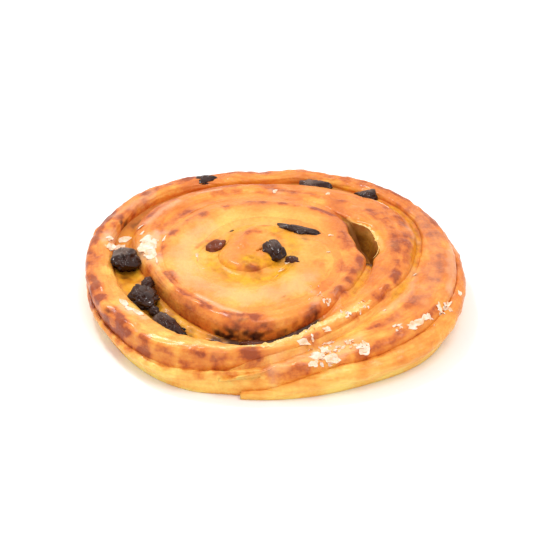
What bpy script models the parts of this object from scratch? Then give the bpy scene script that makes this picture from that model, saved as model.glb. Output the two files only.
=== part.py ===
"""A raisin swirl, the round danish that is cut from a roll of yeast dough spread with custard.

One long strip of dough winds five and a quarter turns, from a loose end at the front to the middle.
Custard runs between the turns, and raisins sit in it and on it. The swirl lies flat on its cut side.
Lengths are in millimetres and are turned into metres as the meshes are made.
"Turned" is the angle along the roll in degrees: 0 is the right hand side, -90 the front, 270 the front
again one turn further in. The back is at +Y.
"""
import math

import bmesh
import bpy
from mathutils import Matrix, Vector, noise
from mathutils.bvhtree import BVHTree

MM = 0.001

# The middle of the swirl, which the roll winds round, seen from the part's own origin.
MIDDLE_X = -4.77
MIDDLE_Y = -2.04

# The ends of the roll, and the step from one cut face of it to the next.
LOOSE_END = -95.0
COVERED_FROM = LOOSE_END + 360
INNER_END = 1796.0
OUTER_STEP = 10.0
INNER_STEP = 15.0
INNER_TURNS_FROM = 1440.0

# How far the widest part of the side is from the middle, at every hour of a clock: a reading every
# 30 degrees, anticlockwise seen from above, starting at the front.
SIDE_REACH = (48.2, 52.0, 58.2, 57.6, 57.4, 55.4, 51.0, 52.2, 51.4, 48.0, 47.0, 48.6)

# How far the seam between one turn and the next is from the middle. Each row is one turn of twelve
# hours, starting at the front, from the loose end inwards.
SEAM_REACH = (
    (46.2, 48.4, 54.0, 56.2, 56.2, 53.6, 49.4, 50.6, 50.2, 47.4, 46.4, 46.4),
    (43.4, 39.6, 39.8, 44.6, 50.4, 46.6, 42.4, 43.6, 43.0, 37.0, 34.0, 35.2),
    (36.4, 32.6, 31.2, 31.6, 32.2, 32.4, 33.2, 32.4, 30.6, 27.6, 26.6, 26.8),
    (27.0, 25.6, 24.4, 22.4, 20.0, 17.2, 16.2, 14.8, 12.8, 14.0, 14.2, 13.2),
    (11.4, 9.0, 7.8, 6.6, 3.6, 1.8),
)
HOUR = 30.0
FIRST_HOUR = -90.0

# Readings along the roll: (turned, value). Heights are above the table.
SEAM_HEIGHT = (
    (-95, 1.4), (-66, 7.0), (-30, 9.3), (60, 9.0), (180, 7.0), (240, 6.4), (300, 9.6), (345, 11.0),
    (450, 11.8), (540, 9.8), (630, 9.4), (690, 12.8), (810, 14.0), (1035, 14.6), (1200, 14.6), (1300, 13.8),
    (1440, 14.4), (1500, 15.4),
)
CREST_HEIGHT = (
    (-95, 2.2), (-60, 8.0), (-10, 10.6), (50, 10.0), (110, 8.2), (180, 7.0), (240, 6.4), (264, 8.0),
    (290, 10.2), (330, 12.6), (400, 13.4), (450, 14.0), (520, 13.2), (560, 12.4), (630, 12.8), (680, 14.2),
    (760, 14.8), (860, 15.4), (900, 14.8), (990, 15.0), (1090, 15.8), (1180, 15.8), (1290, 15.0),
    (1440, 15.6), (1560, 16.4),
)
SEAM_WIDTH = (
    (-95, 0.5), (170, 0.5), (215, 1.4), (405, 1.6), (432, 3.4), (462, 2.2), (500, 3.6), (528, 5.8),
    (548, 8.4), (592, 7.8), (620, 5.2), (645, 4.4), (660, 2.8), (672, 1.8), (700, 1.4), (718, 2.0),
    (728, 6.2), (744, 6.6), (756, 2.2), (780, 1.4), (1080, 1.4), (1112, 2.4), (1128, 3.6), (1150, 2.4), (1200, 2.2), (1228, 4.4),
    (1262, 5.4), (1310, 7.0), (1350, 6.4), (1400, 3.6), (1440, 3.4), (1465, 5.4), (1500, 2.4),
)
SEAM_LEAN = (
    (-95, 0.45), (120, 0.45), (170, 0.60), (255, 0.60), (300, 0.35), (450, 0.30), (720, 0.10), (1000, 0.0),
)
SIDE_TUCK = ((-95, 0.3), (-45, 2.6), (60, 2.4), (180, 1.0), (240, 1.3), (262, 1.2))
BULGE = (
    (-95, 0.2), (-45, 3.0), (60, 2.8), (180, 1.4), (238, 1.7), (258, 0.0), (330, 0.2), (420, 0.6),
    (500, 1.4), (540, 2.0), (600, 2.0), (635, 0.8), (700, 0.2),
)

# Where the crest stands between the outer side of a turn (0) and its inner side (1), and how square the
# shoulders of the arch are: below 1 they are full, above 1 they slope.
CREST_PLACE = (
    (-95, 0.75), (200, 0.72), (280, 0.5), (520, 0.5), (570, 0.42), (640, 0.5), (700, 0.55), (750, 0.72),
    (810, 0.7), (850, 0.62), (900, 0.68), (990, 0.64), (1070, 0.5),
)
SQUARENESS = ((245, 1.0), (285, 0.72), (690, 0.72), (750, 1.0), (1100, 1.0))
POCKET_DEPTH = 8.4
CUSTARD_DEPTH = (
    (180, 0.8), (520, 0.9), (545, 0.6), (630, 0.6), (715, 0.9), (727, POCKET_DEPTH), (746, POCKET_DEPTH),
    (757, 0.9), (1100, 0.5), (1440, 0.3),
)

# The walls of a seam: its width at the table, the parts of the way up where a wall is read, and how
# much of the widening is done half way up.
FLOOR_SEAM = 1.4
WALL_READINGS = (0.0, 0.5, 1.0)
OPEN_HALF_WAY = 0.8

# The free side: how high its foot is, how far the foot leans in, and the least width of the top there.
FOOT_HEIGHT = 1.2
FOOT_LEAN = 0.5
THINNEST_TOP = 0.8

# The arch over the dough: its points, and how closely the bulge keeps to the middle of the side.
ARCH_POINTS = 11
BULGE_SHARPNESS = 1.5

# Lumps in the baked dough: their size, their height, and the height of arch that takes them in full.
LUMP_SIZE = 10.0
LUMP_HEIGHT = 0.9
LUMPY_ARCH = 3.0

CLEARANCE = 0.3
CUSTARD_START = 196.0
CUSTARD_END = 1500.0
CORE = 0.5
CUSTARD_CROWN = 0.25
FULL_CROWN_WIDTH = 4.0

# Raisins: name, direction round the middle, reach, height, length, width, thickness, which way the long
# side points from +X, and its slope.
RAISINS = (
    ("raisin_left_back", 176, 37.6, 11.6, 10.6, 9.2, 7.0, 100, 0),
    ("raisin_left_front", 207, 35.4, 11.2, 10.2, 8.4, 6.8, 140, 8),
    ("raisin_groove", 229, 36.6, 10.4, 12.8, 5.6, 5.8, 134, -6),
    ("raisin_front", 268, 35.4, 8.5, 10.6, 5.2, 5.0, 8, 0),
    ("raisin_middle", -2, 4.4, 15.9, 8.2, 6.8, 6.4, 108, 0),
    ("raisin_middle_small", -16, 10.0, 14.8, 5.0, 3.2, 3.2, -38, 0),
    ("raisin_inner_right", 47, 17.0, 14.5, 12.4, 5.4, 4.8, -20, 0),
    ("raisin_inner_left", 159, 12.6, 14.3, 6.8, 5.0, 4.6, 40, 0),
    ("raisin_back_left", 110, 47.2, 12.4, 9.0, 5.0, 4.6, 14, 0),
    ("raisin_back", 68, 44.0, 12.4, 10.4, 6.0, 5.4, -14, 0),
    ("raisin_back_right", 48, 47.8, 12.2, 8.8, 6.4, 5.6, -34, 0),
)
RAISIN_SIDES = 12
RAISIN_RINGS = 7
RAISIN_FOLD = 0.13
FOLDS_ROUND = 4
FOLD_WANDER = 2.0
FOLD_WAVES = 5
DENTS_ACROSS = 3

# A step between one raisin and the next in the noise that dents them, and in the way their folds lie.
NEXT_DENTS = 7.0
NEXT_FOLDS = 1.7

# Flakes of dried glaze: direction round the middle, reach, and size.
FLAKES = (
    (-69, 43.4, 4.2), (-62, 43.0, 3.8), (-56, 44.2, 3.0), (-54, 47.2, 3.4), (-39, 49.8, 4.2),
    (-33, 52.0, 3.6), (-20, 54.8, 3.2), (168, 29.8, 4.6), (178, 31.0, 3.2), (214, 40.8, 4.2),
)
FLAKE_THICKNESS = 0.7
FLAKE_SIDES = 6
FLAKE_TAPER = 0.86
FLAKE_NARROWING = 0.72
FLAKE_RAGGEDNESS = 0.28
DROPPED_FROM = 40.0

# A step between one flake and the next in their outline, and in how they are turned, in radians.
NEXT_OUTLINE = 5.3
NEXT_SPIN = 2.4

DOUGH_COLOUR = (0.86, 0.47, 0.16, 1.0)
CUSTARD_COLOUR = (0.90, 0.58, 0.14, 1.0)
RAISIN_COLOUR = (0.045, 0.022, 0.018, 1.0)


def eased(readings, turned):
    """The value of a list of (turned, value) readings, easing from each one to the next."""
    if turned <= readings[0][0]:
        return readings[0][1]
    for (start, low), (end, high) in zip(readings, readings[1:]):
        if turned <= end:
            part = (turned - start) / (end - start)
            return low + (high - low) * part * part * (3 - 2 * part)
    return readings[-1][1]


def curved(before, start, end, after, part):
    """A smooth curve through the two middle values, shaped by their neighbours."""
    rise = (end - before) / 2
    fall = (after - start) / 2
    bend = 2 * start - 2 * end + rise + fall
    turn = 3 * end - 3 * start - 2 * rise - fall
    return ((bend * part + turn) * part + rise) * part + start


def between_hours(readings, turned):
    """The value of a list of hourly readings, kept at its last value beyond either end."""
    hours = (turned - FIRST_HOUR) / HOUR
    hour = math.floor(hours)
    last = len(readings) - 1
    near = [readings[min(max(hour + step, 0), last)] for step in (-1, 0, 1, 2)]
    return curved(*near, hours - hour)


def side_reach(turned):
    return between_hours(SIDE_REACH * 3, turned % 360 + 360)


def seam_reach(turned):
    readings = [reach for turn in SEAM_REACH for reach in turn]
    return max(between_hours(readings, turned), 0.0)


def seam_half_width(turned, up):
    """Half the seam's width at a height given as a part of the way up its wall."""
    top = eased(SEAM_WIDTH, turned)
    floor = min(top, FLOOR_SEAM)
    opened = up * 2 * OPEN_HALF_WAY if up < 0.5 else OPEN_HALF_WAY + (up - 0.5) * 2 * (1 - OPEN_HALF_WAY)
    return (floor + (top - floor) * opened) / 2


def seam_middle(turned, up):
    drop = eased(SEAM_HEIGHT, turned) * (1 - up)
    return seam_reach(turned) - eased(SEAM_LEAN, turned) * drop


def inner_wall(turned, up):
    """Where the dough's wall stands on the side that faces the middle of the swirl."""
    if turned > CUSTARD_END + OUTER_STEP:
        return CORE
    return seam_middle(turned, up) + seam_half_width(turned, up)


def outer_wall(turned, up):
    """Where the dough's wall stands on the side that faces away: the free side, or the turn before."""
    free = side_reach(turned) - eased(SIDE_TUCK, turned) - FOOT_LEAN * (1 - up)
    joined = COVERED_FROM - OUTER_STEP / 2
    if turned <= joined - OUTER_STEP:
        return free
    behind = turned - 360
    covered = seam_middle(behind, up) - seam_half_width(behind, up)
    if turned >= joined:
        return covered
    part = (turned - joined + OUTER_STEP) / OUTER_STEP
    return free + (covered - free) * part


def outer_height(turned):
    if turned < COVERED_FROM:
        return FOOT_HEIGHT
    return max(eased(SEAM_HEIGHT, turned - 360), FOOT_HEIGHT)


def inner_height(turned):
    if turned > CUSTARD_END + OUTER_STEP:
        return eased(CREST_HEIGHT, turned)
    return eased(SEAM_HEIGHT, turned)


def lump(turned, reach, height):
    angle = math.radians(turned)
    place = Vector((reach * math.cos(angle), reach * math.sin(angle), height)) / LUMP_SIZE
    return noise.noise(place) * LUMP_HEIGHT


def dough_face(turned):
    """The cut face of the dough at one place along the roll, as (reach, height), round from the table
    on the outer side, over the crest, to the table on the inner side."""
    low_outer = outer_height(turned)
    low_inner = inner_height(turned)
    crest = max(eased(CREST_HEIGHT, turned), low_outer, low_inner)
    outer = outer_wall(turned, 1.0)
    inner = inner_wall(turned, 1.0)
    top = inner + max((outer - inner) * (1 - eased(CREST_PLACE, turned)), THINNEST_TOP)
    bulge = eased(BULGE, turned)
    squareness = eased(SQUARENESS, turned)
    lumpy = min(max(crest - max(low_outer, low_inner), 0) / LUMPY_ARCH, 1)
    face = [(outer_wall(turned, up), low_outer * up) for up in WALL_READINGS[:-1]]
    for step in range(ARCH_POINTS):
        swing = math.pi * step / (ARCH_POINTS - 1)
        across = abs(math.cos(swing)) ** squareness
        rise = math.sin(swing) ** squareness
        if swing <= math.pi / 2:
            reach = top + (outer - top) * across + bulge * math.sin(2 * swing) ** BULGE_SHARPNESS
            height = low_outer + (crest - low_outer) * rise
        else:
            reach = top + (inner - top) * across
            height = low_inner + (crest - low_inner) * rise
        height += lump(turned, reach, height) * rise * lumpy
        face.append((reach, height))
    face += [(inner_wall(turned, up), low_inner * up) for up in reversed(WALL_READINGS[:-1])]
    face.append(((outer_wall(turned, 0.0) + inner_wall(turned, 0.0)) / 2, 0.0))
    return face


def custard_face(turned):
    """The cut face of the custard at one place along the roll, clear of the dough on both sides."""
    wall_height = eased(SEAM_HEIGHT, turned)
    depth = eased(CUSTARD_DEPTH, turned)
    level = wall_height - depth
    gap = CLEARANCE + min(depth, POCKET_DEPTH) / POCKET_DEPTH * CLEARANCE
    face = []
    for part in (0.0, 0.5, 1.0):
        height = CLEARANCE + (level - CLEARANCE) * part
        up = height / wall_height
        face.append((seam_middle(turned, up) + seam_half_width(turned, up) - gap, height))
    crown = level + CUSTARD_CROWN * min(eased(SEAM_WIDTH, turned) / FULL_CROWN_WIDTH, 1.0)
    face.append((seam_middle(turned, level / wall_height), crown))
    for part in (1.0, 0.5, 0.0):
        height = CLEARANCE + (level - CLEARANCE) * part
        up = height / wall_height
        face.append((seam_middle(turned, up) - seam_half_width(turned, up) + gap, height))
    return face


def places_along(start, end):
    """Places along the roll from start to end, at the same directions on every turn."""
    places = [start]
    turned = math.ceil((start + 1) / OUTER_STEP) * OUTER_STEP
    while turned < end - 1:
        places.append(turned)
        turned += OUTER_STEP if turned < INNER_TURNS_FROM else INNER_STEP
    places.append(end)
    return places


def swirl_point(turned, reach, height):
    angle = math.radians(turned)
    x = MIDDLE_X + reach * math.cos(angle)
    y = MIDDLE_Y + reach * math.sin(angle)
    return Vector((x, y, height)) * MM


def close_end(shape, ring):
    """Closes a cut face with a ladder of faces from its outer side to its inner side."""
    low = 0
    high = len(ring) - 1
    while high - low > 1:
        corners = [ring[low], ring[low + 1], ring[high - 1], ring[high]]
        if low + 1 == high - 1:
            corners.pop(1)
        shape.faces.new(corners)
        low += 1
        high -= 1


def wound_strip(name, cut_face, places):
    """A closed strip through the cut faces at the given places along the roll."""
    shape = bmesh.new()
    rings = []
    for turned in places:
        rings.append([shape.verts.new(swirl_point(turned, *point)) for point in cut_face(turned)])
    for ring, following in zip(rings, rings[1:]):
        for index in range(len(ring)):
            after = (index + 1) % len(ring)
            shape.faces.new((ring[index], ring[after], following[after], following[index]))
    close_end(shape, rings[0])
    close_end(shape, rings[-1])
    bmesh.ops.triangulate(shape, faces=shape.faces)
    bmesh.ops.recalc_face_normals(shape, faces=shape.faces)
    return finished_object(name, shape)


def finished_object(name, shape):
    mesh = bpy.data.meshes.new(name)
    shape.to_mesh(mesh)
    shape.free()
    piece = bpy.data.objects.new(name, mesh)
    return piece


def material(name, colour, roughness):
    finish = bpy.data.materials.new(name)
    finish.use_nodes = True
    surface = finish.node_tree.nodes["Principled BSDF"]
    surface.inputs["Base Color"].default_value = colour
    surface.inputs["Roughness"].default_value = roughness
    surface.inputs["Metallic"].default_value = 0.0
    return finish


def raisin_shape(number, length, width, thickness, folds):
    """A raisin round its own middle, long in X: a ball drawn out, with folds along it."""
    shape = bmesh.new()
    bmesh.ops.create_uvsphere(shape, u_segments=RAISIN_SIDES, v_segments=RAISIN_RINGS, radius=0.5)
    for vert in shape.verts:
        lengthways, aside, up = vert.co.z, vert.co.x, vert.co.y
        around = math.atan2(up, aside)
        wander = FOLD_WANDER * math.sin(FOLD_WAVES * lengthways + number)
        crease = math.cos(FOLDS_ROUND * around + NEXT_FOLDS * number + wander)
        dent = noise.noise(vert.co * DENTS_ACROSS + Vector((0, 0, NEXT_DENTS * number)))
        scale = 1 - folds * (0.5 + 0.5 * crease) + folds * dent
        vert.co = Vector((lengthways * length, aside * width * scale, up * thickness * scale)) * MM
    bmesh.ops.triangulate(shape, faces=shape.faces)
    bmesh.ops.recalc_face_normals(shape, faces=shape.faces)
    return shape


def place_raisin(piece, direction, reach, height, heading, slope):
    turn = Matrix.Rotation(math.radians(heading), 4, "Z") @ Matrix.Rotation(math.radians(slope), 4, "Y")
    piece.matrix_world = Matrix.Translation(swirl_point(direction, reach, height)) @ turn


def add_raisins(group, cutters, finish):
    for number, (name, *numbers) in enumerate(RAISINS):
        direction, reach, height, length, width, thickness, heading, slope = numbers
        shape = raisin_shape(number, length, width, thickness, RAISIN_FOLD)
        raisin = finished_object(name, shape)
        raisin.data.materials.append(finish)
        place_raisin(raisin, direction, reach, height, heading, slope)
        group.objects.link(raisin)
        room = [size * (1 + RAISIN_FOLD / 2) + 2 * CLEARANCE for size in (length, width, thickness)]
        socket = finished_object("socket_of_" + name, raisin_shape(number, *room, 0.0))
        place_raisin(socket, direction, reach, height, heading, slope)
        cutters.objects.link(socket)


def cut_sockets(piece, cutters):
    cut = piece.modifiers.new("raisin sockets", "BOOLEAN")
    cut.operation = "DIFFERENCE"
    cut.operand_type = "COLLECTION"
    cut.collection = cutters
    cut.solver = "EXACT"


def flake(number, direction, reach, size, surface):
    """A thin uneven plate of dried glaze, bedded a little into the dough under it."""
    above = swirl_point(direction, reach, DROPPED_FROM)
    spot, normal, _, _ = surface.ray_cast(above, Vector((0, 0, -1)))
    shape = bmesh.new()
    bmesh.ops.create_cone(
        shape, cap_ends=True, cap_tris=False, segments=FLAKE_SIDES,
        radius1=size / 2 * MM, radius2=size / 2 * FLAKE_TAPER * MM, depth=FLAKE_THICKNESS * MM,
    )
    for vert in shape.verts:
        around = math.atan2(vert.co.y, vert.co.x)
        outline = Vector((math.cos(around) * 2, math.sin(around) * 2, NEXT_OUTLINE * number))
        ragged = 1 + FLAKE_RAGGEDNESS * noise.noise(outline)
        vert.co.x *= ragged
        vert.co.y *= ragged * FLAKE_NARROWING
    bmesh.ops.triangulate(shape, faces=shape.faces)
    plate = finished_object("flake_%d" % number, shape)
    tilt = normal.to_track_quat("Z", "Y").to_matrix().to_4x4()
    spin = Matrix.Rotation(NEXT_SPIN * number, 4, "Z")
    plate.matrix_world = Matrix.Translation(spot) @ tilt @ spin
    return plate


def add_flakes(dough):
    """Fuses the flakes of dried glaze to the dough."""
    surface = BVHTree.FromObject(dough, bpy.context.evaluated_depsgraph_get())
    flakes = bpy.data.collections.new("flakes")
    bpy.context.scene.collection.children.link(flakes)
    for number, (direction, reach, size) in enumerate(FLAKES):
        flakes.objects.link(flake(number, direction, reach, size, surface))
    joining = dough.modifiers.new("flakes", "BOOLEAN")
    joining.operation = "UNION"
    joining.operand_type = "COLLECTION"
    joining.collection = flakes
    joining.solver = "EXACT"
    bpy.context.view_layer.objects.active = dough
    bpy.ops.object.modifier_apply(modifier=joining.name)
    for plate in list(flakes.objects):
        bpy.data.objects.remove(plate)
    bpy.data.collections.remove(flakes)


for left_over in list(bpy.data.objects):
    bpy.data.objects.remove(left_over)

swirl = bpy.data.collections.new("raisin_swirl")
bpy.context.scene.collection.children.link(swirl)
sockets = bpy.data.collections.new("raisin_sockets")
bpy.context.scene.collection.children.link(sockets)

dough = wound_strip("dough", dough_face, places_along(LOOSE_END, INNER_END))
dough.data.materials.append(material("baked_dough", DOUGH_COLOUR, 0.4))
swirl.objects.link(dough)

custard = wound_strip("custard", custard_face, places_along(CUSTARD_START, CUSTARD_END))
custard.data.materials.append(material("custard", CUSTARD_COLOUR, 0.3))
swirl.objects.link(custard)

add_raisins(swirl, sockets, material("raisin", RAISIN_COLOUR, 0.25))
for socket in sockets.objects:
    socket.hide_render = True
    socket.display_type = "WIRE"

add_flakes(dough)
cut_sockets(dough, sockets)
cut_sockets(custard, sockets)
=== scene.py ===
import math
import random

import bpy
import numpy as np
from mathutils import Matrix, Vector, noise
from mathutils.bvhtree import BVHTree


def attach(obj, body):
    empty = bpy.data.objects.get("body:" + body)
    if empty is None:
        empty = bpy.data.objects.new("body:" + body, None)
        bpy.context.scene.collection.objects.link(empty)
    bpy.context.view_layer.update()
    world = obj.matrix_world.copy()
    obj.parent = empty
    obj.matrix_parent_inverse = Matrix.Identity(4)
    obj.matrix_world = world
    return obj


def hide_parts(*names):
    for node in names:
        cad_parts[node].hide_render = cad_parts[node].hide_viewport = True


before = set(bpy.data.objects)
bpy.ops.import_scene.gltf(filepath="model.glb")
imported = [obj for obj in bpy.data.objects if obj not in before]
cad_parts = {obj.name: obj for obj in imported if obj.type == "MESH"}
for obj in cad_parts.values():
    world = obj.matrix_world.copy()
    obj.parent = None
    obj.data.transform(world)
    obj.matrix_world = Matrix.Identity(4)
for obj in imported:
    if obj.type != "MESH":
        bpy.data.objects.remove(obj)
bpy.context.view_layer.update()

# The dough. One long strip of enriched yeast dough, spread with custard, rolled up, cut across and laid
# flat to prove. The oven browns its ridges, and sugar glaze is brushed on while it is hot. "Turned" is
# the angle along the roll in degrees, counted from the right, and reach is millimetres from the middle.

MM = 0.001
MIDDLE_X = -4.77
MIDDLE_Y = -2.04
LOOSE_END = -95.0
INNER_END = 1796.0
OUTER_STEP = 10.0
SIDE_REACH = (48.2, 52.0, 58.2, 57.6, 57.4, 55.4, 51.0, 52.2, 51.4, 48.0, 47.0, 48.6)
SEAM_REACH = (
    (46.2, 48.4, 54, 56.2, 56.2, 53.6, 49.4, 50.6, 50.2, 47.4, 46.4, 46.4),
    (43.4, 39.6, 39.8, 44.6, 50.4, 46.6, 42.4, 43.6, 43, 37, 34, 35.2),
    (36.4, 32.6, 31.2, 31.6, 32.2, 32.4, 33.2, 32.4, 30.6, 27.6, 26.6, 26.8),
    (27, 25.6, 24.4, 22.4, 20, 17.2, 16.2, 14.8, 12.8, 14, 14.2, 13.2),
    (11.4, 9, 7.8, 6.6, 3.6, 1.8),
)
HOUR = 30.0
FIRST_HOUR = -90.0
SEAM_HEIGHT = (
    (-95, 1.4), (-66, 7), (-30, 9.3), (60, 9), (180, 7), (240, 6.4), (300, 9.6), (345, 11), (450, 11.8),
    (540, 9.8), (630, 9.4), (690, 12.8), (810, 14), (1035, 14.6), (1200, 14.6), (1300, 13.8), (1440, 14.4),
    (1500, 15.4),
)
CREST_HEIGHT = (
    (-95, 2.2), (-60, 8), (-10, 10.6), (50, 10), (110, 8.2), (180, 7), (240, 6.4), (264, 8), (290, 10.2),
    (330, 12.6), (400, 13.4), (450, 14), (520, 13.2), (560, 12.4), (630, 12.8), (680, 14.2), (760, 14.8),
    (860, 15.4), (900, 14.8), (990, 15), (1090, 15.8), (1180, 15.8), (1290, 15), (1440, 15.6), (1560, 16.4),
)
SEAM_WIDTH = (
    (170, -0.3), (215, 0.6), (405, 1.6), (432, 3.4), (462, 2.2), (500, 3.6), (528, 5.8), (548, 8.4),
    (592, 7.8), (620, 5.2), (645, 4.4), (660, 2.8), (672, 1.8), (700, 1.4), (718, 2), (728, 6.2), (744, 6.6),
    (756, 2.2), (780, 1.4), (1080, 1.4), (1112, 2.4), (1128, 3.6), (1150, 2.4), (1200, 2.2), (1228, 4.4),
    (1262, 5.4), (1310, 7), (1350, 6.4), (1400, 3.6), (1440, 3.4), (1465, 5.4), (1500, 2.4),
)
SEAM_LEAN = ((120, 0.45), (170, 0.6), (255, 0.6), (300, 0.35), (450, 0.3), (720, 0.1), (1000, 0))
SIDE_TUCK = ((-95, 0.3), (-45, 2.6), (60, 2.4), (180, 1), (240, 1.3), (262, 1.2))
BULGE = (
    (-95, 0.2), (-45, 3), (60, 2.8), (180, 1.4), (238, 1.7), (258, 0), (330, 0.2), (420, 0.6), (500, 1.4),
    (540, 2), (560, 1.9), (590, 1.1), (610, 0.7), (650, 0.5), (700, 0.2),
)
CREST_PLACE = (
    (-95, 0.75), (200, 0.72), (280, 0.5), (520, 0.5), (570, 0.42), (640, 0.5), (700, 0.55), (750, 0.72),
    (810, 0.7), (850, 0.62), (900, 0.68), (990, 0.64), (1070, 0.5),
)
SQUARENESS = ((245, 1), (285, 0.72), (690, 0.72), (750, 1))
FLOOR_SEAM = 1.4
OPEN_HALF_WAY = 0.8
FOOT_HEIGHT = 1.2
FOOT_LEAN = 0.5
THINNEST_TOP = 0.8
LUMP_SIZE = 10.0
LUMP_HEIGHT = 0.9
LUMPY_ARCH = 3.0
CUSTARD_START = 196.0
CUSTARD_END = 1500.0
CORE = 0.5


def smooth(part):
    """A share from 0 to 1, with a soft start and end."""
    return part * part * (3 - 2 * part)


def eased(readings, turned):
    """A reading along the roll, with soft steps between the readings."""
    if turned <= readings[0][0]:
        return readings[0][1]
    for (start, low), (end, high) in zip(readings, readings[1:]):
        if turned <= end:
            return low + (high - low) * smooth((turned - start) / (end - start))
    return readings[-1][1]


def straight(readings, turned):
    """Readings along the roll, with straight lines between them."""
    return np.interp(turned, *zip(*readings))


def curved(before, start, end, after, part):
    """A part of the way from start to end, on a curve through all four."""
    rise = (end - before) / 2
    fall = (after - start) / 2
    bend = 2 * start - 2 * end + rise + fall
    turn = 3 * end - 3 * start - 2 * rise - fall
    return ((bend * part + turn) * part + rise) * part + start


def hourly(reading, turned):
    """A reading taken every 30 degrees, like the hours on a clock face."""
    hours = (turned - FIRST_HOUR) / HOUR
    hour = math.floor(hours)
    return curved(*[reading(hour + step) for step in (-1, 0, 1, 2)], hours - hour)


def side_reach(turned):
    return hourly(lambda hour: SIDE_REACH[hour % len(SIDE_REACH)], turned)


SEAM_READINGS = [reach for turn in SEAM_REACH for reach in turn]


def seam_reach(turned):
    last = len(SEAM_READINGS) - 1
    return max(hourly(lambda hour: SEAM_READINGS[min(max(hour, 0), last)], turned), 0.0)


def seam_half_width(turned, up):
    top = eased(SEAM_WIDTH, turned)
    floor = min(top, FLOOR_SEAM)
    opened = up * 2 * OPEN_HALF_WAY if up < 0.5 else OPEN_HALF_WAY + (up - 0.5) * 2 * (1 - OPEN_HALF_WAY)
    return (floor + (top - floor) * opened) / 2


def seam_middle(turned, up):
    drop = eased(SEAM_HEIGHT, turned) * (1 - up)
    return seam_reach(turned) - eased(SEAM_LEAN, turned) * drop


def inner_wall(turned, up):
    if turned > CUSTARD_END + OUTER_STEP:
        return CORE
    return seam_middle(turned, up) + seam_half_width(turned, up)


def outer_wall(turned, up):
    free = side_reach(turned) - eased(SIDE_TUCK, turned) - FOOT_LEAN * (1 - up)
    joined = LOOSE_END + 360 - OUTER_STEP / 2
    if turned <= joined - OUTER_STEP:
        return free
    covered = seam_middle(turned - 360, up) - seam_half_width(turned - 360, up)
    if turned >= joined:
        return covered
    part = (turned - joined + OUTER_STEP) / OUTER_STEP
    return free + (covered - free) * part


def outer_height(turned):
    if turned < LOOSE_END + 360:
        return FOOT_HEIGHT
    return max(eased(SEAM_HEIGHT, turned - 360), FOOT_HEIGHT)


def inner_height(turned):
    if turned > CUSTARD_END + OUTER_STEP:
        return eased(CREST_HEIGHT, turned)
    return eased(SEAM_HEIGHT, turned)


def lump(turned, reach, height):
    angle = math.radians(turned)
    place = Vector((reach * math.cos(angle), reach * math.sin(angle), height)) / LUMP_SIZE
    return noise.noise(place) * LUMP_HEIGHT


WALL_POINTS = 5
ARCH_POINTS = 46
HUNG = ((440, 0), (475, 1), (600, 1), (636, 0))
HEM_OUT = ((560, 1), (600, 0.55), (630, 0.1))
HEM_HEIGHT = ((560, 4), (600, 5.6), (630, 6.4))
HANGING_PART = 0.34
HEM_GAP = 0.25


def dough_face(turned):
    """The cut face of the dough, as (reach, height, part of the way over the arch)."""
    low_outer = outer_height(turned)
    low_inner = inner_height(turned)
    crest = max(eased(CREST_HEIGHT, turned), low_outer, low_inner)
    outer = outer_wall(turned, 1.0)
    inner = inner_wall(turned, 1.0)
    top = inner + max((outer - inner) * (1 - eased(CREST_PLACE, turned)), THINNEST_TOP)
    bulge = eased(BULGE, turned)
    hung = eased(HUNG, turned)
    hem = side_reach(turned) - eased(SIDE_TUCK, turned - 360) + eased(BULGE, turned - 360) - HEM_GAP
    hem = outer + max(hem - outer, 0) * eased(HEM_OUT, turned)
    squareness = eased(SQUARENESS, turned)
    lumpy = min(max(crest - max(low_outer, low_inner), 0) / LUMPY_ARCH, 1)
    ups = [step / WALL_POINTS for step in range(WALL_POINTS)]
    face = [(outer_wall(turned, up), low_outer * up, 0.0) for up in ups]
    for step in range(ARCH_POINTS):
        part = step / (ARCH_POINTS - 1)
        swing = math.pi * part
        across = abs(math.cos(swing)) ** squareness
        rise = max(math.sin(swing), 0.0) ** squareness
        if part <= 0.5:
            reach = top + (outer - top) * across + bulge * max(math.sin(2 * swing), 0.0) ** 1.5
            height = low_outer + (crest - low_outer) * rise
            if part < HANGING_PART and hung > 0:
                share = hung * (1 - part / HANGING_PART) ** 2
                reach += (hem - reach) * share
                height += (eased(HEM_HEIGHT, turned) - height) * share
        else:
            reach = top + (inner - top) * across
            height = low_inner + (crest - low_inner) * rise
        height += lump(turned, reach, height) * rise * lumpy
        face.append((reach, height, part))
    face += [(inner_wall(turned, up), low_inner * up, 1.0) for up in reversed(ups)]
    face.append(((outer_wall(turned, 0.0) + inner_wall(turned, 0.0)) / 2, 0.0, 1.0))
    return face


STRIDE = 0.75
LONGEST_STEP = 6.0
RIDGE_REACH = 4.0


def ring_faces(rings, points):
    """The faces between rings of points, each of which closes on itself."""
    faces = []
    for low in range(0, (rings - 1) * points, points):
        for point in range(points):
            after = (point + 1) % points
            faces.append((low + point, low + after, low + points + after, low + points + point))
    return faces


def new_piece(name, spots, faces, smooth_faces=True):
    """A mesh with its points in metres, put into the scene."""
    mesh = bpy.data.meshes.new(name)
    mesh.from_pydata(spots, [], faces)
    mesh.polygons.foreach_set("use_smooth", [smooth_faces] * len(mesh.polygons))
    made = bpy.data.objects.new(name, mesh)
    bpy.context.scene.collection.objects.link(made)
    return made


def places_along(start, end):
    places = [start]
    while places[-1] < end:
        reach = seam_reach(places[-1]) + RIDGE_REACH
        places.append(places[-1] + min(math.degrees(STRIDE / reach), LONGEST_STEP))
    places[-1] = end
    return places


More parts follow.
